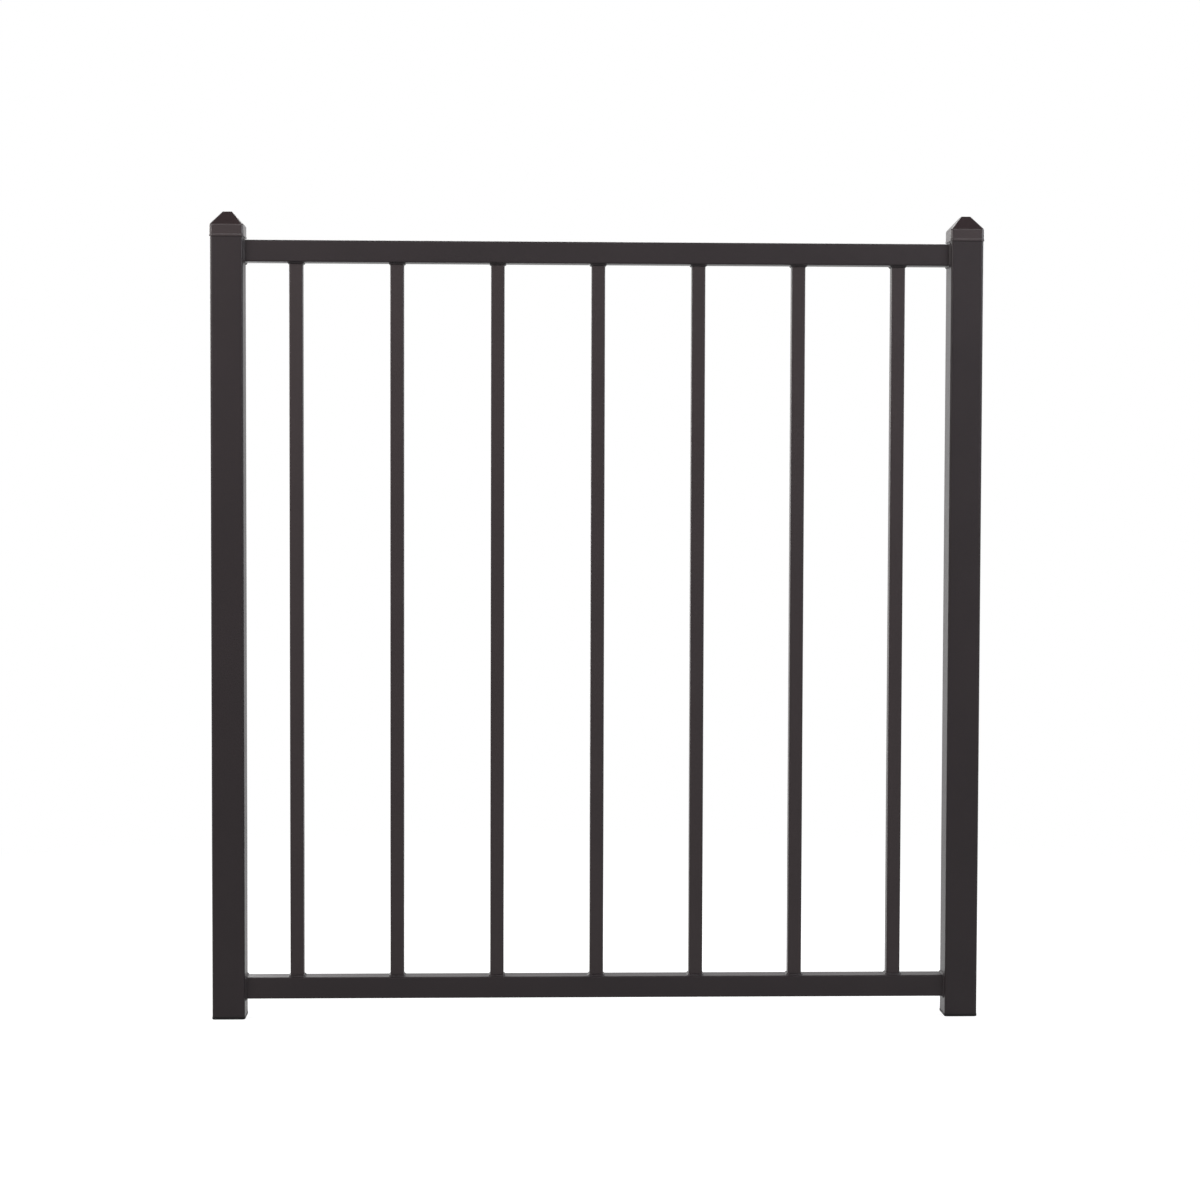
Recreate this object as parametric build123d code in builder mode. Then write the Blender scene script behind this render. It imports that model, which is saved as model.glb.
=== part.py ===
"""A welded steel gate leaf: two capped posts, two rails and a row of square pickets.

Millimetres, +Z up. The front faces -Y and the gate runs along +X from its hinge side. The origin is
at the middle of the hinge post's outer face, where hinges are fastened.
"""

import math
import os

from build123d import *

# Posts: square tube, standing at both ends of the leaf
post_size = 38.1
post_wall = 1.5
post_bend = 1.5  # inside radius of the tube's corners
post_length = 911.2

# Rails: square tube, butted between the posts and welded all round
rail_size = 25.4
rail_length = 825.5
rail_wall = 1.5
rail_bend = 0.6
rail_weld = 3.0  # leg of the fillet weld between a rail and a post
rail_weld_edge = 0.2  # the top rail's weld stops this far below the end of the post
foot_clear = 23.0  # from the underside of the feet up to the bottom rail

# Pickets: square tube, butted between the rails and welded all round
picket_count = 7
picket_size = 15.875
picket_wall = 1.2
picket_bend = 0.4
end_gap = 52.4  # clear space between a post and the picket next to it
picket_weld = 2.4  # leg of the fillet weld between a picket and a rail

weld_toe = 0.4  # thickness that a weld keeps where it runs out along the tube

# Caps: moulded pyramid caps pushed into the top of the posts
cap_proud = 1.2  # the collar stands out this far round the post
cap_collar = 14.3
cap_peak = 15.5  # height of the pyramid above the collar
cap_flat = 10.5  # width of the flat on top of the pyramid
cap_flat_bend = 1.0
cap_edge = 0.6  # rounding of the collar's lower edge
cap_crown = 2.5  # thickness of plastic under the flat

# Feet: moulded plugs pushed into the bottom of the posts
foot_head = 3.2
foot_proud = 0.25
foot_edge = 0.8  # rounding of the head's lower edge

# Hollow spigots that hold the caps and the feet inside the posts
spigot_depth = 15.0
spigot_wall = 2.0
spigot_clear = 0.2

# Places that follow from the sizes above
post_corner = post_bend + post_wall
rail_corner = rail_bend + rail_wall
picket_corner = picket_bend + picket_wall

gate_width = rail_length + 2 * post_size
left_post_x = post_size / 2
right_post_x = gate_width - post_size / 2
first_picket_x = post_size + end_gap + picket_size / 2
last_picket_x = gate_width - first_picket_x
picket_pitch = (last_picket_x - first_picket_x) / (picket_count - 1)

post_top = post_length / 2
post_bottom = -post_length / 2
foot_level = post_bottom - foot_head
bottom_rail_z = foot_level + foot_clear + rail_size / 2
top_rail_z = post_top - rail_weld_edge - rail_weld - rail_size / 2
picket_bottom = bottom_rail_z + rail_size / 2
picket_top = top_rail_z - rail_size / 2

spigot_size = post_size - 2 * post_wall - 2 * spigot_clear
spigot_corner = max(post_bend - spigot_clear, spigot_clear)
spigot_bore = spigot_size - 2 * spigot_wall


def save(piece, name):
    """Label a finished piece and write it to its own file."""
    piece.part.label = name
    export_step(piece.part, f"parts/{name}.step")


def square_tube(plane, size, bend, wall, length):
    """A square tube with rounded corners that runs along the plane's normal."""
    with BuildPart() as tube:
        with BuildSketch(plane):
            RectangleRounded(size, size, bend + wall)
            RectangleRounded(size - 2 * wall, size - 2 * wall, bend, mode=Mode.SUBTRACT)
        extrude(amount=length)
    return tube


def weld_ring(plane, size, corner, leg):
    """A fillet weld round a square tube: broad on the plane, running out to a thin toe along the tube."""
    slope = math.degrees(math.atan2(leg - weld_toe, leg))
    with BuildPart() as ring:
        with BuildSketch(plane):
            RectangleRounded(size + 2 * leg, size + 2 * leg, corner + leg)
        extrude(amount=leg, taper=slope)
        with BuildSketch(plane):
            RectangleRounded(size, size, corner)
        extrude(amount=leg, mode=Mode.SUBTRACT)
    return ring


def post_cap(x):
    """A hollow cap: a collar on the end of the post, a pyramid above it and a spigot below it."""
    collar_size = post_size + 2 * cap_proud
    collar_corner = post_corner + cap_proud
    collar_top = post_top + cap_collar
    spigot_bottom = post_top - spigot_depth
    side_run = (collar_size - cap_flat) / 2
    ceiling_height = cap_peak - cap_crown
    ceiling_size = spigot_bore - 2 * side_run * ceiling_height / cap_peak

    with BuildPart() as cap:
        with BuildSketch(Plane((x, 0, post_top))):
            RectangleRounded(collar_size, collar_size, collar_corner)
        extrude(amount=cap_collar)
        fillet(cap.faces().sort_by(Axis.Z)[0].edges(), cap_edge)
        with BuildSketch(Plane((x, 0, collar_top))):
            RectangleRounded(collar_size, collar_size, collar_corner)
        with BuildSketch(Plane((x, 0, collar_top + cap_peak))):
            RectangleRounded(cap_flat, cap_flat, cap_flat_bend)
        loft()
        with BuildSketch(Plane((x, 0, spigot_bottom))):
            RectangleRounded(spigot_size, spigot_size, spigot_corner)
        extrude(amount=spigot_depth)
        with BuildSketch(Plane((x, 0, spigot_bottom))):
            Rectangle(spigot_bore, spigot_bore)
        extrude(amount=spigot_depth + cap_collar, mode=Mode.SUBTRACT)
        with BuildSketch(Plane((x, 0, collar_top))):
            Rectangle(spigot_bore, spigot_bore)
        with BuildSketch(Plane((x, 0, collar_top + ceiling_height))):
            Rectangle(ceiling_size, ceiling_size)
        loft(mode=Mode.SUBTRACT)
    return cap


def foot_plug(x):
    """A plug with a flat head under the end of the post and a hollow spigot inside it."""
    head_size = post_size + 2 * foot_proud
    with BuildPart() as plug:
        with BuildSketch(Plane((x, 0, foot_level))):
            RectangleRounded(head_size, head_size, post_corner + foot_proud)
        extrude(amount=foot_head)
        fillet(plug.faces().sort_by(Axis.Z)[0].edges(), foot_edge)
        with BuildSketch(Plane((x, 0, post_bottom))):
            RectangleRounded(spigot_size, spigot_size, spigot_corner)
            Rectangle(spigot_bore, spigot_bore, mode=Mode.SUBTRACT)
        extrude(amount=spigot_depth)
    return plug


os.makedirs("parts", exist_ok=True)

# The two posts, each with its cap and its foot plug
for side, x in (("left", left_post_x), ("right", right_post_x)):
    post_end = Plane((x, 0, post_bottom))
    save(square_tube(post_end, post_size, post_bend, post_wall, post_length), f"{side}_post")
    save(post_cap(x), f"{side}_post_cap")
    save(foot_plug(x), f"{side}_foot_plug")

# The two rails, each with a weld at both ends
for level, z in (("top", top_rail_z), ("bottom", bottom_rail_z)):
    left_end = Plane((post_size, 0, z), x_dir=(0, 1, 0), z_dir=(1, 0, 0))
    right_end = Plane((post_size + rail_length, 0, z), x_dir=(0, 1, 0), z_dir=(-1, 0, 0))
    save(square_tube(left_end, rail_size, rail_bend, rail_wall, rail_length), f"{level}_rail")
    for side, rail_end in (("left", left_end), ("right", right_end)):
        save(weld_ring(rail_end, rail_size, rail_corner, rail_weld), f"{level}_rail_{side}_weld")

# The pickets, numbered from the hinge side, each with a weld at both ends
for number in range(1, picket_count + 1):
    x = first_picket_x + (number - 1) * picket_pitch
    lower_end = Plane((x, 0, picket_bottom))
    upper_end = Plane((x, 0, picket_top), x_dir=(1, 0, 0), z_dir=(0, 0, -1))
    picket_length = picket_top - picket_bottom
    save(square_tube(lower_end, picket_size, picket_bend, picket_wall, picket_length), f"picket_{number}")
    for level, picket_end in (("top", upper_end), ("bottom", lower_end)):
        save(weld_ring(picket_end, picket_size, picket_corner, picket_weld), f"picket_{number}_{level}_weld")
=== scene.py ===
"""Dresses a welded steel gate: powder-coated tubes and weld beads, moulded caps and foot plugs."""

import math

import bpy
import numpy as np
from mathutils import Matrix, Vector


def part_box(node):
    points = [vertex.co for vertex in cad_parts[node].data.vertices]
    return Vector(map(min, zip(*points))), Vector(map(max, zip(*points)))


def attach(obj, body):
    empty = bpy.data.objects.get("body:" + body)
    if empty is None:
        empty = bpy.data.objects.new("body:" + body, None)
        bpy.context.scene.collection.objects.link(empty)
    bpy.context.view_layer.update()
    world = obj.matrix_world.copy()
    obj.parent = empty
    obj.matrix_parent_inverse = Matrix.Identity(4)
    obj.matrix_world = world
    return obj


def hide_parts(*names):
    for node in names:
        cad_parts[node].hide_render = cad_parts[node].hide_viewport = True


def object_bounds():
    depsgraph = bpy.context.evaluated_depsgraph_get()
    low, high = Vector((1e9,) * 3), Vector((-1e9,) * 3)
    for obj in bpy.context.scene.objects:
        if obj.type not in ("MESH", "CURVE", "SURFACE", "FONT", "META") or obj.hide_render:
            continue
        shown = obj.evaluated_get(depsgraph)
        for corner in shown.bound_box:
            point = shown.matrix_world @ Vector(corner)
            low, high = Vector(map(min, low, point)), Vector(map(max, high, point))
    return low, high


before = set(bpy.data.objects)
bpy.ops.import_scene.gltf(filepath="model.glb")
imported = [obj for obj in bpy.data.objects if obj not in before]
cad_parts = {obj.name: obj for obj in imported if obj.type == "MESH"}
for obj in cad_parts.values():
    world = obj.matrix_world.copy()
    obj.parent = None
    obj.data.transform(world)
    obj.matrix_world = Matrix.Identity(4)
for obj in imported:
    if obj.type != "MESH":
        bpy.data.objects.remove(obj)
CAD_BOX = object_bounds()

bl_info = {
    "name": "Steel gate",
    "version": (1, 0, 0),
    "blender": (4, 5, 0),
    "location": "View3D > Sidebar > Gate",
    "description": "Builds the visible surfaces of a welded steel gate and a plain studio round it",
    "category": "Object",
}

MM = 0.001
SIDES = ("left", "right")
LEVELS = ("top", "bottom")
PICKETS = sorted(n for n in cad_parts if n.startswith("picket_") and not n.endswith("_weld"))
POST_LOW, POST_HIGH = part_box("left_post")
RAIL_LOW, RAIL_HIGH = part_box("top_rail")
PICKET_LOW, PICKET_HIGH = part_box("picket_1")
CAP_LOW, CAP_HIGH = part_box("left_post_cap")
FOOT_LOW, FOOT_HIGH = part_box("left_foot_plug")

# Turns that carry a shape made along its own w axis onto a direction of the gate, as columns u, v, w
ALONG = {
    "+Z": np.array([[1, 0, 0], [0, 1, 0], [0, 0, 1]], float),
    "-Z": np.array([[1, 0, 0], [0, -1, 0], [0, 0, -1]], float),
    "+X": np.array([[0, 0, 1], [1, 0, 0], [0, 1, 0]], float),
    "-X": np.array([[0, 0, -1], [-1, 0, 0], [0, 1, 0]], float),
}

SHARP_ANGLE = math.radians(38)  # edges that turn further than this are shaded sharp
BORE_BEND = 0.3 * MM  # corner radius inside the spigots

# Weld beads
RAIL_BEAD = 0.78  # legs of the beads, as shares of the leg of the solid weld
PICKET_BEAD = 0.93
BEAD_TOE = 0.1  # thickness at the toe, as a share of the leg of the solid weld
BEAD_CROWN = 0.10  # bulge of a bead's face, as a share of its leg
BEAD_SUNK = 0.15 * MM  # how far the hidden sides of a bead reach into the tubes
RIPPLE_STEPS = 8  # facets along each ripple
RIPPLE_LEAN = 1.6  # how far the middle of a ripple runs ahead of its ends, in radians

# Studio
FLOOR_REACH = 9.0
FLOOR_FADE = (0.55, 1.7)  # distances from the gate between which the floor turns to the white background
CEILING_FADE = (0.50, 0.92)  # upward parts of a direction between which the reflected room turns dim
MIDDLE = (0, 0, 0)
UPPER = (0, 0, 0.35)
PLAIN = (1.0, 1.0, 1.0)
WARM = (1.0, 0.97, 0.95)
COOL = (0.92, 0.96, 1.0)

# Lamps: place and aim from the middle of the gate, width and height, property that holds the power, tint
LAMPS = {
    "front_left_lamp": ((-1.35, -0.75, 0.79), UPPER, 0.7, 0.7, "front_power", WARM),
    "back_left_lamp": ((-1.35, 0.75, 0.79), UPPER, 0.7, 0.7, "back_power", WARM),
    "front_right_lamp": ((1.35, -0.75, 0.79), UPPER, 0.7, 0.7, "front_power", COOL),
    "back_right_lamp": ((1.35, 0.75, 0.79), UPPER, 0.7, 0.7, "back_power", COOL),
    "top_lamp": ((0, -1.30, 1.25), UPPER, 1.5, 0.4, "top_power", PLAIN),
    "roof_lamp": ((0, 1.10, 1.55), UPPER, 1.5, 0.5, "roof_power", PLAIN),
    "wall_lamp": ((-1.05, 2.2, 0.3), MIDDLE, 0.9, 1.4, "wall_power", PLAIN),
}


def length(name, description, millimetres):
    """A length property, given in millimetres and kept in metres."""
    return bpy.props.FloatProperty(
        name=name, description=description, default=millimetres * MM, min=0.0, precision=5,
        subtype="DISTANCE", unit="LENGTH",
    )


def share(name, description, default):
    """A property that runs from nothing to one."""
    return bpy.props.FloatProperty(
        name=name, description=description, default=default, min=0.0, max=1.0, subtype="FACTOR",
    )


def power(name, description, watts):
    """The power of a lamp."""
    return bpy.props.FloatProperty(
        name=name, description=description, default=watts, min=0.0, subtype="POWER", unit="POWER",
    )


def colour(name, description, rgb):
    """A linear colour property."""
    return bpy.props.FloatVectorProperty(
        name=name, description=description, default=rgb, size=3, min=0.0, max=1.0, subtype="COLOR",
    )


def place(name, description, metres):
    """A position property in the gate's frame."""
    return bpy.props.FloatVectorProperty(
        name=name, description=description, default=metres, size=3, subtype="XYZ", unit="LENGTH",
    )


def angle(name, description, degrees):
    """An angle property, given in degrees and kept in radians."""
    return bpy.props.FloatProperty(
        name=name, description=description, default=math.radians(degrees), subtype="ANGLE", unit="ROTATION",
    )


class GateSizes(bpy.types.PropertyGroup):
    """Sizes of the visible surfaces that the frame's boxes don't give."""

    post_corner: length("Post corner", "Outer corner radius of the post tubes", 3.0)
    post_wall: length("Post wall", "Wall thickness of the post tubes", 1.5)
    rail_corner: length("Rail corner", "Outer corner radius of the rail tubes", 2.1)
    rail_wall: length("Rail wall", "Wall thickness of the rail tubes", 1.5)
    picket_corner: length("Picket corner", "Outer corner radius of the picket tubes", 1.6)
    picket_wall: length("Picket wall", "Wall thickness of the picket tubes", 1.2)
    cap_collar: length("Cap collar", "Height of the straight collar of a cap", 14.3)
    cap_flat: length("Cap flat", "Width of the flat on top of a cap", 10.5)
    cap_lip: length("Cap lip", "How far the lip along the lower edge of a collar stands out", 0.45)
    cap_lip_height: length("Cap lip height", "Height of the lip along the lower edge of a collar", 1.6)
    cap_band: length("Cap band", "Height of the sloping bands above the lip and under the pyramid", 1.4)
    cap_edge: length("Cap edge", "Softness of the edges of a cap", 0.6)
    cap_crown: length("Cap crown", "Thickness of plastic under the flat of a cap", 2.5)
    foot_edge: length("Foot edge", "Softness of the edges of a foot plug", 0.8)
    spigot_wall: length("Spigot wall", "Wall thickness of the spigots of caps and foot plugs", 2.0)
    spigot_clear: length("Spigot clearance", "Space between a spigot and the post round it", 0.2)
    ripple_pitch: length("Ripple pitch", "Distance from one ripple of a weld bead to the next", 1.9)
    ripple_height: length("Ripple height", "Height of the ripples of a weld bead", 0.16)
    corner_steps: bpy.props.IntProperty(
        name="Corner steps", description="Facets round each tube corner", default=10, min=3, max=24,
    )


class GateFinish(bpy.types.PropertyGroup):
    """Colours and gloss of the finishes."""

    coat_light: colour("Coat, light", "Lighter tone of the powder coat", (0.0270, 0.0207, 0.0224))
    coat_dark: colour("Coat, dark", "Darker tone of the powder coat", (0.0230, 0.0177, 0.0193))
    # Picket tones: the coat's tones made lighter, painted light that brightens the pickets
    picket_light: colour("Picket, light", "Lighter tone of the coat on the pickets", (0.0430, 0.0333, 0.0345))
    picket_dark: colour("Picket, dark", "Darker tone of the coat on the pickets", (0.0375, 0.0290, 0.0302))
    coat_gloss: share("Coat specular", "Specular level of the powder coat", 0.20)
    coat_rough: share("Coat roughness", "Middle roughness of the powder coat", 0.40)
    cap_light: colour("Cap, light", "Lighter tone of the cap plastic", (0.0320, 0.0212, 0.0226))
    cap_dark: colour("Cap, dark", "Darker tone of the cap plastic", (0.0280, 0.0184, 0.0197))
    cap_gloss: share("Cap specular", "Specular level of the cap plastic", 0.36)
    cap_rough: share("Cap roughness", "Middle roughness of the cap plastic", 0.31)
    foot_light: colour("Foot, light", "Lighter tone of the foot plastic", (0.0150, 0.0140, 0.0145))
    foot_dark: colour("Foot, dark", "Darker tone of the foot plastic", (0.0100, 0.0095, 0.0100))
    foot_gloss: share("Foot specular", "Specular level of the foot plastic", 0.14)
    foot_rough: share("Foot roughness", "Middle roughness of the foot plastic", 0.55)


class GateStudio(bpy.types.PropertyGroup):
    """Camera, lamps and floor."""

    camera_place: place("Camera place", "Where the camera stands", (0.340, -3.058, 0.166))
    camera_yaw: angle("Camera yaw", "Turn of the camera about the upright", -2.137)
    camera_pitch: angle("Camera pitch", "Tilt of the camera, down is negative", -2.476)
    camera_roll: angle("Camera roll", "Turn of the camera about its own axis", -0.178)
    camera_lens: bpy.props.FloatProperty(
        name="Camera lens", description="Focal length on a 36 mm sensor", default=78.0, min=1.0,
        subtype="DISTANCE_CAMERA", unit="CAMERA",
    )
    front_power: power("Front power", "Power of each of the two lamps in front, left and right", 15.5)
    back_power: power("Back power", "Power of each of the two lamps behind, left and right", 11.0)
    wall_power: power("Wall power", "Power of the broad lamp far behind, on the left", 11.0)
    top_power: power("Top power", "Power of the lamp above the front", 8.0)
    roof_power: power("Roof power", "Power of the lamp above the back", 22.0)
    ambient: share("Ambient", "Brightness of the room for diffuse light", 0.06)
    ceiling: share("Ceiling", "Brightness of the room's ceiling where it is reflected", 0.08)
    floor_colour: colour("Floor colour", "Colour of the floor", (0.30, 0.30, 0.30))
    floor_glow: share("Floor glow", "White that the background adds to the floor", 0.86)


# Profiles and surfaces

RING_KNOTS = np.arange(9.0)
RING_TURN = np.radians([0, 90, 90, 180, 180, 270, 270, 360, 360])
RING_U = np.array([1, 1, -1, -1, -1, -1, 1, 1, 1], float)
RING_V = np.array([1, 1, 1, 1, -1, -1, -1, -1, 1], float)
SUPPORT = 0.03  # share of a straight side between a rounded corner and the row that keeps the side flat
KEEP_FLAT = 1.4  # cuts between a softened corner and the points that keep the faces beside it flat


def ring_frame(t):
    """Where a rounded square runs at parameter t: the corner centre, in half widths, and the outward angle.

    Whole numbers of t part the eight stretches: corner arcs from even numbers, straight sides from odd ones.
    """
    centre_u = np.interp(t, RING_KNOTS, RING_U)
    centre_v = np.interp(t, RING_KNOTS, RING_V)
    return centre_u, centre_v, np.interp(t, RING_KNOTS, RING_TURN)


def ring_stops(steps):
    """Parameters round a rounded square: even steps on each corner arc and two support stops on each side."""
    stretch = np.concatenate([np.linspace(0, 1, steps + 1), [1 + SUPPORT, 2 - SUPPORT]])
    return (2 * np.arange(4)[:, None] + stretch).ravel()


def square_shell(levels, steps):
    """Rounded squares stacked along w.

    Each level gives a half width, a corner radius and a height. A point is the corner centre plus the
    corner radius along the outward angle: u = U(t) (half - corner) + corner cos a(t), and the same for v.
    """
    half, corner, height = (column[:, None] for column in np.asarray(levels, float).T)
    centre_u, centre_v, turn = ring_frame(ring_stops(steps))
    u = centre_u * (half - corner) + corner * np.cos(turn)
    v = centre_v * (half - corner) + corner * np.sin(turn)
    return np.stack([u, v, np.broadcast_to(height, u.shape)], axis=-1)


def soften(points, cuts, steps=6):
    """A profile with its corners rounded: each corner becomes a parabola between points one cut away.

    The parabola is (1-t)^2 A + 2 t (1-t) P + t^2 B. Two more points, a little further out on the straight
    runs, keep the faces beside the round flat in shading.
    """
    points = np.asarray(points, float)
    t = np.linspace(0, 1, steps + 1)[:, None]
    profile = [points[:1]]
    for before, corner, after, cut in zip(points[:-2], points[1:-1], points[2:], cuts):
        if cut == 0:
            profile.append(corner[None])
            continue
        to_before = (before - corner) / np.linalg.norm(before - corner) * cut
        to_after = (after - corner) / np.linalg.norm(after - corner) * cut
        arc = corner + (1 - t) ** 2 * to_before + t**2 * to_after
        profile += [corner[None] + KEEP_FLAT * to_before, arc, corner[None] + KEEP_FLAT * to_after]
    profile.append(points[-1:])
    return np.concatenate(profile)


def grid_faces(rows, columns, rows_closed):
    """Quads of a grid whose columns run round and whose rows may close into a loop."""
    row = np.arange(rows if rows_closed else rows - 1)[:, None]
    column = np.arange(columns)[None, :]
    next_row = (row + 1) % rows
    next_column = (column + 1) % columns
    corners = (
        row * columns + column,
        row * columns + next_column,
        next_row * columns + next_column,
        next_row * columns + column,
    )
    return np.stack(np.broadcast_arrays(*corners), axis=-1).reshape(-1, 4)


def surface_object(name, points, material, rows_closed, centre, along="+Z"):
    """A closed mesh object from a grid of points, turned along a direction and moved to its centre.

    Where the rows don't close into a loop, the first and last rows are filled with one face each.
    """
    rows, columns = points.shape[:2]
    placed = points.reshape(-1, 3) @ ALONG[along].T + np.asarray(centre, float)
    faces = grid_faces(rows, columns, rows_closed).tolist()
    if not rows_closed:
        first = np.arange(columns)[::-1]
        last = np.arange(columns) + (rows - 1) * columns
        faces += [first.tolist(), last.tolist()]
    mesh = bpy.data.meshes.new(name)
    mesh.from_pydata(placed.tolist(), [], faces)
    mesh.polygons.foreach_set("use_smooth", np.ones(len(mesh.polygons), bool))
    mesh.set_sharp_from_angle(angle=SHARP_ANGLE)
    mesh.materials.append(material)
    mesh.update()
    piece = bpy.data.objects.new(name, mesh)
    bpy.context.scene.collection.objects.link(piece)
    return piece


def stands_for(piece, node):
    """Tie a finished piece to the one rigid body and hide the node that it stands for."""
    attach(piece, "root")
    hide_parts(node)
    return piece


def box_start(node, along):
    """Where a direction enters a node's box, in the middle of that side, and how long the box is that way."""
    low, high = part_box(node)
    axis = "XYZ".index(along[1])
    start = (low + high) / 2
    start[axis] = low[axis] if along[0] == "+" else high[axis]
    return start, high[axis] - low[axis]


def tube_points(half, corner, wall, run, steps):
    """A square tube along w from 0 to run: up the outside, over the end, down the bore and round again."""
    bore = half - wall
    bend = corner - wall
    near = min(2 * wall, run / 4)
    levels = [
        (half, corner, 0),
        (half, corner, near),
        (half, corner, run - near),
        (half, corner, run),
        (bore, bend, run),
        (bore, bend, run - near),
        (bore, bend, near),
        (bore, bend, 0),
    ]
    return square_shell(levels, steps)


def tube_piece(node, corner, wall, material, along="+Z"):
    """Make the square tube that fills a node's box along a direction."""
    low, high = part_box(node)
    start, run = box_start(node, along)
    steps = bpy.context.scene.gate_sizes.corner_steps
    points = tube_points((high.y - low.y) / 2, corner, wall, run, steps)
    stands_for(surface_object(f"coated_{node}", points, material, True, start, along), node)


def bead_points(half, corner, leg, toe, pitch, ripple, phase):
    """A rippled fillet weld round a square tube, as a closed section carried round a rounded square.

    The section's face runs from the base, one leg out, up to a thin toe on the tube. It is a straight line
    with a sine bulge. Ripples are a cosine of the distance run, and a parabola across the face shifts their
    phase, so each one is a crescent. Two slow sines make the legs wander.
    """
    straight = 2 * (half - corner)
    arc = math.pi / 2 * (corner + leg / 2)
    stretch_ends = np.concatenate([[0], np.cumsum(np.tile([arc, straight], 4))])
    around = stretch_ends[-1]
    ripples = round(around / pitch)
    stops = ripples * RIPPLE_STEPS
    distance = np.arange(stops) / stops * around
    centre_u, centre_v, turn = ring_frame(np.interp(distance, stretch_ends, RING_KNOTS))
    lap = 2 * math.pi * distance / around

    across = np.linspace(0, 1, 11)[:, None]
    wander = 1 + 0.05 * np.sin(3 * lap + phase) + 0.04 * np.sin(7 * lap + 2.3 * phase)
    wave = np.cos(ripples * lap + RIPPLE_LEAN * 4 * across * (1 - across))
    bulge = (BEAD_CROWN * leg + ripple * (0.35 + 0.65 * wave)) * np.sin(math.pi * across)
    out = leg * wander * (1 - across) + toe * across + bulge * math.sqrt(0.5)
    up = leg * wander * across + bulge * math.sqrt(0.5)

    hidden = np.full((1, stops), -BEAD_SUNK)
    out = np.concatenate([out, hidden, hidden])
    up = np.concatenate([up, up[-1:], hidden])
    u = centre_u * (half - corner) + (corner + out) * np.cos(turn)
    v = centre_v * (half - corner) + (corner + out) * np.sin(turn)
    return np.stack([u, v, up], axis=-1)


def bead_piece(node, half, corner, fill, phase, along):
    """Make the weld bead of a node round a tube of the given half width."""
    sizes = bpy.context.scene.gate_sizes
    start, leg = box_start(node, along)
    points = bead_points(
        half, corner, fill * leg, BEAD_TOE * leg, sizes.ripple_pitch, sizes.ripple_height, phase,
    )
    stands_for(surface_object(f"coated_{node}", points, weld_coat(), True, start, along), node)


def spigot_sizes(sizes):
    """Half width and corner radius of the spigots inside the posts, and half width of their bore."""
    spigot = (POST_HIGH.x - POST_LOW.x) / 2 - sizes.post_wall - sizes.spigot_clear
    return spigot, sizes.post_corner - sizes.post_wall - sizes.spigot_clear, spigot - sizes.spigot_wall


# Finishes

def add_node(tree, kind, **inputs):
    """Add a shader node and set its inputs by name."""
    node = tree.nodes.new(kind)
    for key, value in inputs.items():
        node.inputs[key.replace("_", " ")].default_value = value
    return node


def noise(tree, coordinates, size, detail):
    """Noise whose features measure about the given size in metres."""
    node = add_node(tree, "ShaderNodeTexNoise", Scale=1 / size, Detail=detail, Roughness=0.55)
    tree.links.new(coordinates.outputs["Object"], node.inputs["Vector"])
    return node.outputs["Fac"]


def spread(tree, value, low, high):
    """Map a noise value, which keeps near its middle, onto a range."""
    node = add_node(tree, "ShaderNodeMapRange", From_Min=0.3, From_Max=0.7, To_Min=low, To_Max=high)
    tree.links.new(value, node.inputs["Value"])
    return node.outputs["Result"]


def finish(name, tones, rough, specular, cloud, grain, relief):
    """A coloured finish, made once: clouds of two tones, a fine grain in the roughness and a shallow relief.

    The relief adds two noises, one of the grain's size and one a quarter of it, so the surface has the
    faint unevenness of cured powder or of a spark-eroded mould.
    """
    if name in bpy.data.materials:
        return bpy.data.materials[name]
    material = bpy.data.materials.new(name)
    material.use_nodes = True
    tree = material.node_tree
    shader = tree.nodes["Principled BSDF"]
    coordinates = add_node(tree, "ShaderNodeTexCoord")

    mix = add_node(tree, "ShaderNodeMix")
    mix.data_type = "RGBA"
    colour_a, colour_b = (socket for socket in mix.inputs if socket.type == "RGBA")
    colour_a.default_value = (*tones[0], 1)
    colour_b.default_value = (*tones[1], 1)
    tree.links.new(spread(tree, noise(tree, coordinates, cloud, 4), 0, 1), mix.inputs["Factor"])
    mixed = next(socket for socket in mix.outputs if socket.type == "RGBA")
    tree.links.new(mixed, shader.inputs["Base Color"])

    coarse = noise(tree, coordinates, grain, 2)
    fine = noise(tree, coordinates, grain / 4, 2)
    tree.links.new(spread(tree, fine, rough - 0.05, rough + 0.05), shader.inputs["Roughness"])
    heights = add_node(tree, "ShaderNodeMath")
    heights.operation = "MULTIPLY_ADD"
    tree.links.new(fine, heights.inputs[0])
    heights.inputs[1].default_value = 0.35
    tree.links.new(coarse, heights.inputs[2])
    bump = add_node(tree, "ShaderNodeBump", Strength=relief, Distance=grain / 6)
    tree.links.new(heights.outputs["Value"], bump.inputs["Height"])
    tree.links.new(bump.outputs["Normal"], shader.inputs["Normal"])

    shader.inputs["Specular IOR Level"].default_value = specular
    return material


def powder_coat():
    """Satin dark brown-black powder coat with a faint orange peel."""
    look = bpy.context.scene.gate_finish
    tones = (look.coat_dark, look.coat_light)
    return finish(
        "satin_coat", tones, look.coat_rough, look.coat_gloss, cloud=90 * MM, grain=1.3 * MM, relief=0.32,
    )


def picket_coat():
    """Painted light: the same powder coat made a shade lighter, so the thin picket tubes read brighter than
    the posts.
    """
    look = bpy.context.scene.gate_finish
    tones = (look.picket_dark, look.picket_light)
    return finish(
        "picket_coat", tones, look.coat_rough, look.coat_gloss, cloud=90 * MM, grain=1.3 * MM, relief=0.32,
    )


def weld_coat():
    """The same powder coat where it has flowed over a weld bead, a little smoother."""
    look = bpy.context.scene.gate_finish
    tones = (look.coat_dark, look.coat_light)
    rough = look.coat_rough - 0.04
    return finish("weld_coat", tones, rough, look.coat_gloss, cloud=6 * MM, grain=0.9 * MM, relief=0.25)


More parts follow.
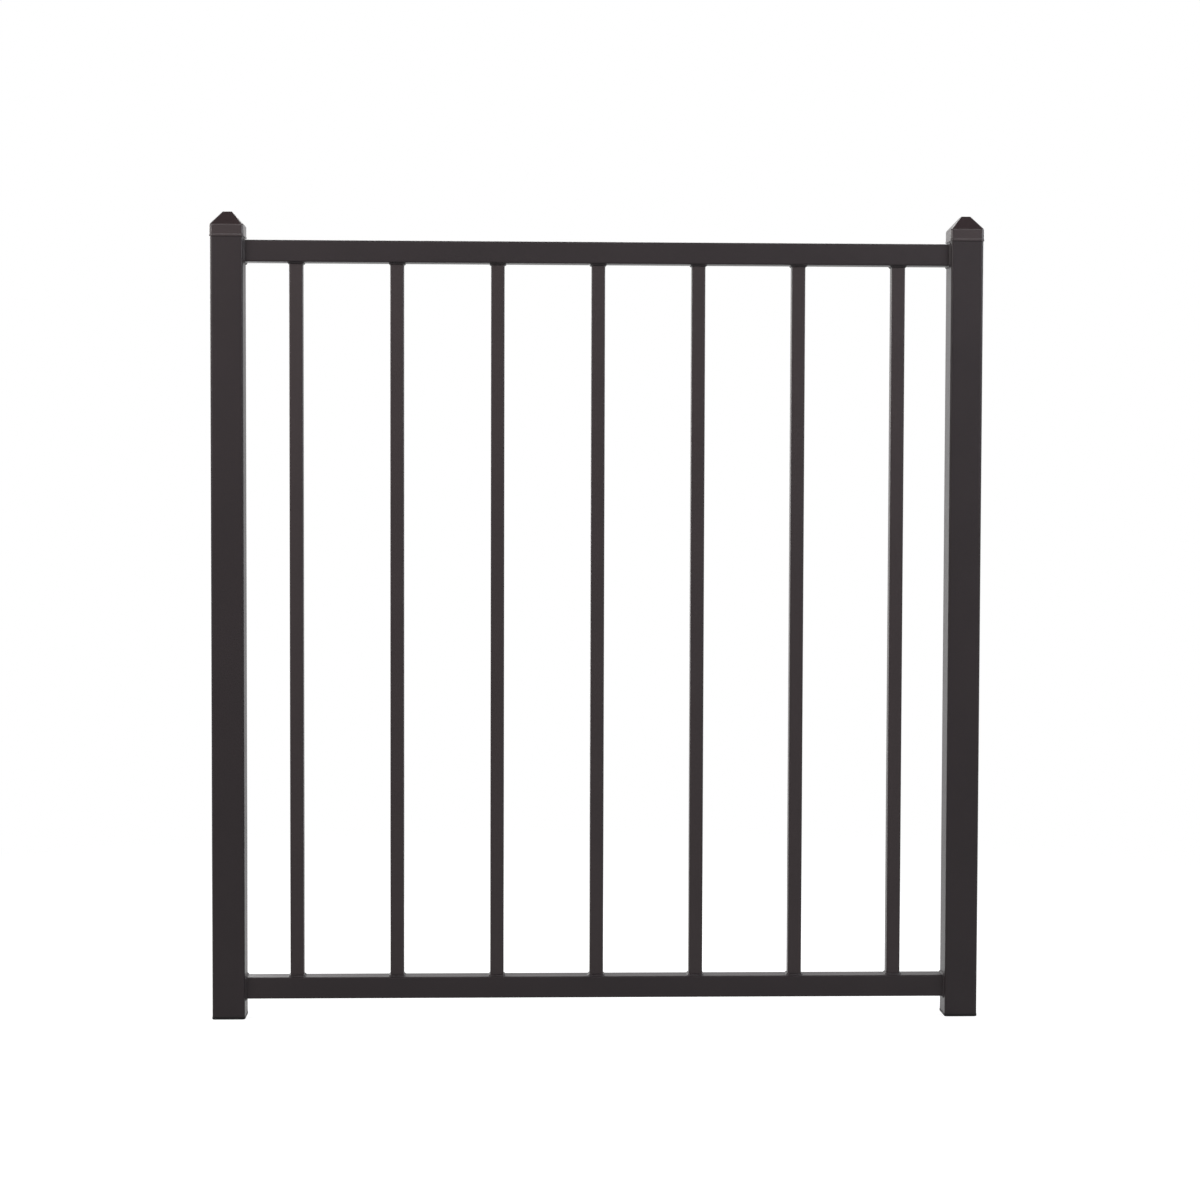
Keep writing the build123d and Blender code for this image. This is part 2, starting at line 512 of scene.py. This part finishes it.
def cap_plastic():
    """Dark brown plastic with the fine grain of a spark-eroded mould."""
    look = bpy.context.scene.gate_finish
    tones = (look.cap_dark, look.cap_light)
    return finish(
        "grained_cap", tones, look.cap_rough, look.cap_gloss, cloud=20 * MM, grain=0.6 * MM, relief=0.25,
    )


def foot_plastic():
    """Matte black plastic with a fine mould grain."""
    look = bpy.context.scene.gate_finish
    tones = (look.foot_dark, look.foot_light)
    return finish(
        "grained_foot", tones, look.foot_rough, look.foot_gloss, cloud=20 * MM, grain=0.6 * MM, relief=0.25,
    )


# Pieces of the gate

class GATE_OT_posts(bpy.types.Operator):
    """Make the two post tubes"""

    bl_idname = "gate.posts"
    bl_label = "Posts"

    def execute(self, context):
        sizes = context.scene.gate_sizes
        for side in SIDES:
            tube_piece(f"{side}_post", sizes.post_corner, sizes.post_wall, powder_coat())
        return {"FINISHED"}


class GATE_OT_rails(bpy.types.Operator):
    """Make the top and the bottom rail tubes"""

    bl_idname = "gate.rails"
    bl_label = "Rails"

    def execute(self, context):
        sizes = context.scene.gate_sizes
        for level in LEVELS:
            tube_piece(f"{level}_rail", sizes.rail_corner, sizes.rail_wall, powder_coat(), "+X")
        return {"FINISHED"}


class GATE_OT_pickets(bpy.types.Operator):
    """Make the row of picket tubes"""

    bl_idname = "gate.pickets"
    bl_label = "Pickets"

    def execute(self, context):
        sizes = context.scene.gate_sizes
        for node in PICKETS:
            # the pickets take the lighter copy of the coat, with painted light in its colour
            tube_piece(node, sizes.picket_corner, sizes.picket_wall, picket_coat())
        return {"FINISHED"}


class GATE_OT_caps(bpy.types.Operator):
    """Make the pyramid caps of the posts"""

    bl_idname = "gate.caps"
    bl_label = "Post caps"

    def execute(self, context):
        sizes = context.scene.gate_sizes
        collar = (CAP_HIGH.x - CAP_LOW.x) / 2
        collar_bend = sizes.post_corner + collar - (POST_HIGH.x - POST_LOW.x) / 2
        body = collar - sizes.cap_lip
        body_bend = collar_bend - sizes.cap_lip
        shoulder = body - sizes.cap_lip
        shoulder_bend = body_bend - sizes.cap_lip
        spigot, spigot_bend, bore = spigot_sizes(sizes)
        collar_top = sizes.cap_collar
        peak = CAP_HIGH.z - POST_HIGH.z
        spigot_end = CAP_LOW.z - POST_HIGH.z
        flat = sizes.cap_flat / 2
        slope = (shoulder - flat) / (peak - collar_top)
        ceiling_rise = peak - sizes.cap_crown - collar_top
        ceiling = bore - slope * ceiling_rise
        profile = [
            (ceiling, BORE_BEND, collar_top + ceiling_rise),
            (bore, BORE_BEND, collar_top),
            (bore, BORE_BEND, spigot_end),
            (spigot, spigot_bend, spigot_end),
            (spigot, spigot_bend, 0),
            (collar, collar_bend, 0),
            (collar, collar_bend, sizes.cap_lip_height),
            (body, body_bend, sizes.cap_lip_height + sizes.cap_band),
            (body, body_bend, collar_top - sizes.cap_band),
            (shoulder, shoulder_bend, collar_top),
            (flat, sizes.cap_edge, peak),
            (flat / 2, sizes.cap_edge / 2, peak),
        ]
        edge = sizes.cap_edge
        cuts = (0, 0, 0, 0, edge, edge / 2, edge / 2, edge / 2, edge / 2, edge)
        points = square_shell(soften(profile, cuts), sizes.corner_steps)
        for side in SIDES:
            node = f"{side}_post_cap"
            low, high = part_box(node)
            centre = ((low.x + high.x) / 2, (low.y + high.y) / 2, POST_HIGH.z)
            piece = surface_object(f"moulded_{node}", points, cap_plastic(), False, centre)
            stands_for(piece, node)
        return {"FINISHED"}


class GATE_OT_feet(bpy.types.Operator):
    """Make the plugs in the feet of the posts"""

    bl_idname = "gate.feet"
    bl_label = "Foot plugs"

    def execute(self, context):
        sizes = context.scene.gate_sizes
        head = (FOOT_HIGH.x - FOOT_LOW.x) / 2
        head_bend = sizes.post_corner + head - (POST_HIGH.x - POST_LOW.x) / 2
        spigot, spigot_bend, bore = spigot_sizes(sizes)
        seat = POST_LOW.z - FOOT_LOW.z
        spigot_end = FOOT_HIGH.z - FOOT_LOW.z
        profile = [
            (head / 2, head_bend / 2, 0),
            (head, head_bend, 0),
            (head, head_bend, seat),
            (spigot, spigot_bend, seat),
            (spigot, spigot_bend, spigot_end),
            (bore, BORE_BEND, spigot_end),
            (bore, BORE_BEND, seat),
            (bore / 2, BORE_BEND, seat),
        ]
        cuts = (sizes.foot_edge, sizes.foot_edge / 3, 0, 0, 0, 0)
        points = square_shell(soften(profile, cuts), sizes.corner_steps)
        for side in SIDES:
            node = f"{side}_foot_plug"
            low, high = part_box(node)
            centre = ((low.x + high.x) / 2, (low.y + high.y) / 2, low.z)
            piece = surface_object(f"moulded_{node}", points, foot_plastic(), False, centre)
            stands_for(piece, node)
        return {"FINISHED"}


class GATE_OT_rail_welds(bpy.types.Operator):
    """Make the weld beads between the rails and the posts"""

    bl_idname = "gate.rail_welds"
    bl_label = "Rail welds"

    def execute(self, context):
        sizes = context.scene.gate_sizes
        half = (RAIL_HIGH.z - RAIL_LOW.z) / 2
        for number, (level, side) in enumerate((lv, sd) for lv in LEVELS for sd in SIDES):
            along = "+X" if side == "left" else "-X"
            bead_piece(f"{level}_rail_{side}_weld", half, sizes.rail_corner, RAIL_BEAD, 1.7 * number, along)
        return {"FINISHED"}


class GATE_OT_picket_welds(bpy.types.Operator):
    """Make the weld beads between the pickets and the rails"""

    bl_idname = "gate.picket_welds"
    bl_label = "Picket welds"

    def execute(self, context):
        sizes = context.scene.gate_sizes
        half = (PICKET_HIGH.x - PICKET_LOW.x) / 2
        for number, (picket, level) in enumerate((p, lv) for p in PICKETS for lv in LEVELS):
            along = "+Z" if level == "bottom" else "-Z"
            bead_piece(f"{picket}_{level}_weld", half, sizes.picket_corner, PICKET_BEAD, 0.9 * number, along)
        return {"FINISHED"}


# Studio

def combine(tree, operation, first, second):
    """A math node on two values."""
    node = add_node(tree, "ShaderNodeMath")
    node.operation = operation
    tree.links.new(first, node.inputs[0])
    tree.links.new(second, node.inputs[1])
    return node.outputs["Value"]


def background_rays(tree, dimming=None):
    """A value of one for the rays that see the background: camera, glossy and transmission rays.

    A dimming value, where there is one, lowers it for the glossy rays alone.
    """
    path = add_node(tree, "ShaderNodeLightPath")
    glossy = path.outputs["Is Glossy Ray"]
    if dimming is not None:
        glossy = combine(tree, "MULTIPLY", glossy, dimming)
    direct = combine(tree, "MAXIMUM", path.outputs["Is Camera Ray"], path.outputs["Is Transmission Ray"])
    return combine(tree, "MAXIMUM", direct, glossy)


def floor_material(studio, centre):
    """A pale floor that keeps the shadow near the gate and turns to the white background further off."""
    material = bpy.data.materials.new("studio_floor")
    material.use_nodes = True
    tree = material.node_tree
    tree.nodes.clear()
    output = add_node(tree, "ShaderNodeOutputMaterial")
    matte = add_node(tree, "ShaderNodeBsdfDiffuse", Color=(*studio.floor_colour, 1))
    glow = add_node(tree, "ShaderNodeEmission", Color=(1, 1, 1, 1))
    glow_part = add_node(tree, "ShaderNodeMath")
    glow_part.operation = "MULTIPLY"
    glow_part.inputs[1].default_value = studio.floor_glow
    seen = background_rays(tree)
    tree.links.new(seen, glow_part.inputs[0])
    tree.links.new(glow_part.outputs["Value"], glow.inputs["Strength"])
    lit = add_node(tree, "ShaderNodeAddShader")
    tree.links.new(matte.outputs["BSDF"], lit.inputs[0])
    tree.links.new(glow.outputs["Emission"], lit.inputs[1])

    white = add_node(tree, "ShaderNodeEmission", Color=(1, 1, 1, 1), Strength=1.0)
    offset = add_node(tree, "ShaderNodeVectorMath")
    offset.operation = "DISTANCE"
    offset.inputs[1].default_value = centre
    tree.links.new(add_node(tree, "ShaderNodeTexCoord").outputs["Object"], offset.inputs[0])
    near, far = FLOOR_FADE
    away = add_node(tree, "ShaderNodeMapRange", From_Min=near, From_Max=far)
    away.interpolation_type = "SMOOTHSTEP"
    tree.links.new(offset.outputs["Value"], away.inputs["Value"])
    mixed = add_node(tree, "ShaderNodeMixShader")
    tree.links.new(combine(tree, "MULTIPLY", away.outputs["Result"], seen), mixed.inputs["Fac"])
    tree.links.new(lit.outputs["Shader"], mixed.inputs[1])
    tree.links.new(white.outputs["Emission"], mixed.inputs[2])
    tree.links.new(mixed.outputs["Shader"], output.inputs["Surface"])
    return material


def studio_floor(studio, centre):
    """A square of floor under the gate."""
    corners = np.array([[-1, -1, 0], [1, -1, 0], [1, 1, 0], [-1, 1, 0]], float) * FLOOR_REACH + centre
    mesh = bpy.data.meshes.new("studio_floor")
    mesh.from_pydata(corners.tolist(), [], [(0, 1, 2, 3)])
    mesh.materials.append(floor_material(studio, centre))
    floor = bpy.data.objects.new("studio_floor", mesh)
    bpy.context.scene.collection.objects.link(floor)


def white_room(studio):
    """A world that is white where it is seen and a dimmer grey where it lights by diffuse rays.

    Reflections show it white near the horizon and dimmer towards the ceiling.
    """
    world = bpy.data.worlds.new("studio_room")
    world.use_nodes = True
    tree = world.node_tree
    shade = tree.nodes["Background"]
    shade.inputs["Color"].default_value = (1, 1, 1, 1)
    direction = add_node(tree, "ShaderNodeSeparateXYZ")
    tree.links.new(add_node(tree, "ShaderNodeTexCoord").outputs["Generated"], direction.inputs["Vector"])
    low, high = CEILING_FADE
    ceiling = add_node(
        tree, "ShaderNodeMapRange", From_Min=low, From_Max=high, To_Min=1.0, To_Max=studio.ceiling,
    )
    tree.links.new(direction.outputs["Z"], ceiling.inputs["Value"])
    level = add_node(tree, "ShaderNodeMapRange", To_Min=studio.ambient, To_Max=1.0)
    tree.links.new(background_rays(tree, ceiling.outputs["Result"]), level.inputs["Value"])
    tree.links.new(level.outputs["Result"], shade.inputs["Strength"])
    bpy.context.scene.world = world


def soft_lamp(name, position, target, width, height, power, tint):
    """A rectangular area lamp that faces a target."""
    lamp = bpy.data.lights.new(name, "AREA")
    lamp.shape = "RECTANGLE"
    lamp.size = width
    lamp.size_y = height
    lamp.energy = power
    lamp.color = tint
    holder = bpy.data.objects.new(name, lamp)
    bpy.context.scene.collection.objects.link(holder)
    holder.location = position
    holder.rotation_euler = (target - position).to_track_quat("-Z", "Y").to_euler()
    holder.visible_camera = False


def photo_camera(studio):
    """The camera at the photograph's viewing angle: yaw, then pitch, then roll about its own axis."""
    camera = bpy.data.cameras.new("camera")
    camera.sensor_width = 36.0
    camera.sensor_height = 36.0
    camera.lens = studio.camera_lens
    camera.clip_end = 100.0
    holder = bpy.data.objects.new("camera", camera)
    bpy.context.scene.collection.objects.link(holder)
    turn = (
        Matrix.Rotation(studio.camera_yaw, 4, "Z")
        @ Matrix.Rotation(studio.camera_pitch, 4, "X")
        @ Matrix.Rotation(studio.camera_roll, 4, "Y")
        @ Matrix.Rotation(math.radians(90), 4, "X")
    )
    holder.matrix_world = Matrix.Translation(studio.camera_place) @ turn
    bpy.context.scene.camera = holder


class GATE_OT_studio(bpy.types.Operator):
    """Make the floor, the white room, the lamps and the camera"""

    bl_idname = "gate.studio"
    bl_label = "Studio"

    def execute(self, context):
        studio = context.scene.gate_studio
        context.scene.view_settings.view_transform = "Standard"
        low, high = CAD_BOX
        middle = (low + high) / 2
        studio_floor(studio, (middle.x, middle.y, low.z))
        white_room(studio)
        for name, (offset, aim, width, height, lamp_power, tint) in LAMPS.items():
            watts = getattr(studio, lamp_power)
            soft_lamp(name, middle + Vector(offset), middle + Vector(aim), width, height, watts, tint)
        photo_camera(studio)
        return {"FINISHED"}


STEPS = (
    GATE_OT_posts,
    GATE_OT_rails,
    GATE_OT_pickets,
    GATE_OT_caps,
    GATE_OT_feet,
    GATE_OT_rail_welds,
    GATE_OT_picket_welds,
    GATE_OT_studio,
)


class GATE_PT_builder(bpy.types.Panel):
    """Buttons that make the gate piece by piece"""

    bl_idname = "GATE_PT_builder"
    bl_label = "Steel gate"
    bl_space_type = "VIEW_3D"
    bl_region_type = "UI"
    bl_category = "Gate"

    def draw(self, context):
        column = self.layout.column(align=True)
        for step in STEPS:
            column.operator(step.bl_idname)


GROUPS = {"gate_sizes": GateSizes, "gate_finish": GateFinish, "gate_studio": GateStudio}


def register():
    for name, group in GROUPS.items():
        bpy.utils.register_class(group)
        setattr(bpy.types.Scene, name, bpy.props.PointerProperty(type=group))
    for item in (*STEPS, GATE_PT_builder):
        bpy.utils.register_class(item)


def unregister():
    for item in (GATE_PT_builder, *reversed(STEPS)):
        bpy.utils.unregister_class(item)
    for name, group in GROUPS.items():
        delattr(bpy.types.Scene, name)
        bpy.utils.unregister_class(group)


def main():
    """Register the add-on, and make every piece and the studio."""
    register()
    for step in STEPS:
        getattr(bpy.ops.gate, step.bl_idname.split(".")[1])()


if __name__ == "__main__":
    main()
